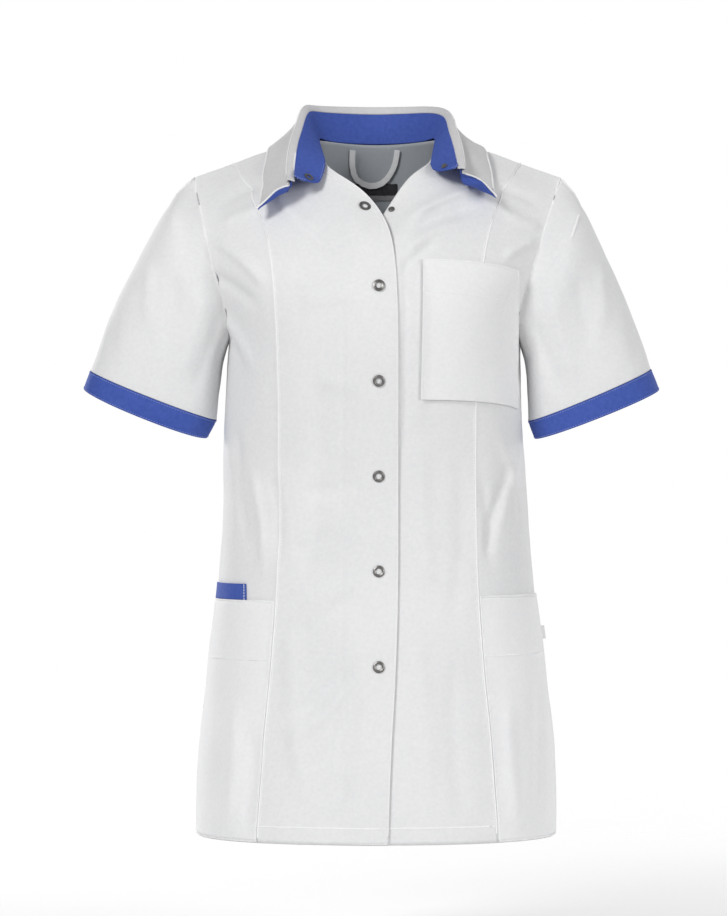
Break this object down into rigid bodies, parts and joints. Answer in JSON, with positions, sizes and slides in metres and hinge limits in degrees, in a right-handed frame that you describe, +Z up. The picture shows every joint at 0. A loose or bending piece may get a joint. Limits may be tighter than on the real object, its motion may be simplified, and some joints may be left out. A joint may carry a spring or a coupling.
{
  "type": "medical tunic",
  "caption": "Short-sleeved hospital tunic in white cloth with blue trims, open shirt collar, snap front and patch pockets, shaped as worn.",
  "frame": {"origin": "between the shoulders, at the height of the shoulder seams beside the collar, where the wearer's shoulders carry the tunic", "axes": "+Z up along the wearer's back, -Y towards the front of the wearer, +X towards the wearer's left"},
  "size_m": [0.6135, 0.268, 0.7753],
  "materials": {
    "white_cloth": "matt cotton and polyester twill",
    "blue_cloth": "matt cotton and polyester twill",
    "snap_metal": "dark nickel",
    "label_dark": "woven label, plain",
    "label_grey": "woven label, plain"
  },
  "bodies": {
    "root": {"back": "white_cloth", "front_left": "white_cloth", "front_right": "white_cloth", "side_front_left": "white_cloth", "side_front_right": "white_cloth", "sleeve_left": "white_cloth", "sleeve_right": "white_cloth", "collar_leaf": "white_cloth", "chest_pocket": "white_cloth", "pocket_left": "white_cloth", "pocket_right": "white_cloth", "hanger_loop": "white_cloth", "side_label": "white_cloth", "cuff_left": "blue_cloth", "cuff_right": "blue_cloth", "collar_stand": "blue_cloth", "under_collar": "blue_cloth", "pocket_tab": "blue_cloth", "snap_ring_1": "snap_metal", "snap_ring_2": "snap_metal", "snap_ring_3": "snap_metal", "snap_ring_4": "snap_metal", "snap_ring_5": "snap_metal", "snap_back_1": "snap_metal", "snap_back_2": "snap_metal", "snap_back_3": "snap_metal", "snap_back_4": "snap_metal", "snap_back_5": "snap_metal", "neck_snap_ring": "snap_metal", "neck_snap_stud": "snap_metal", "stand_snap_ring": "snap_metal", "stand_snap_stud": "snap_metal", "neck_label": "label_dark", "size_label": "label_grey"}
  },
  "joints": []
}
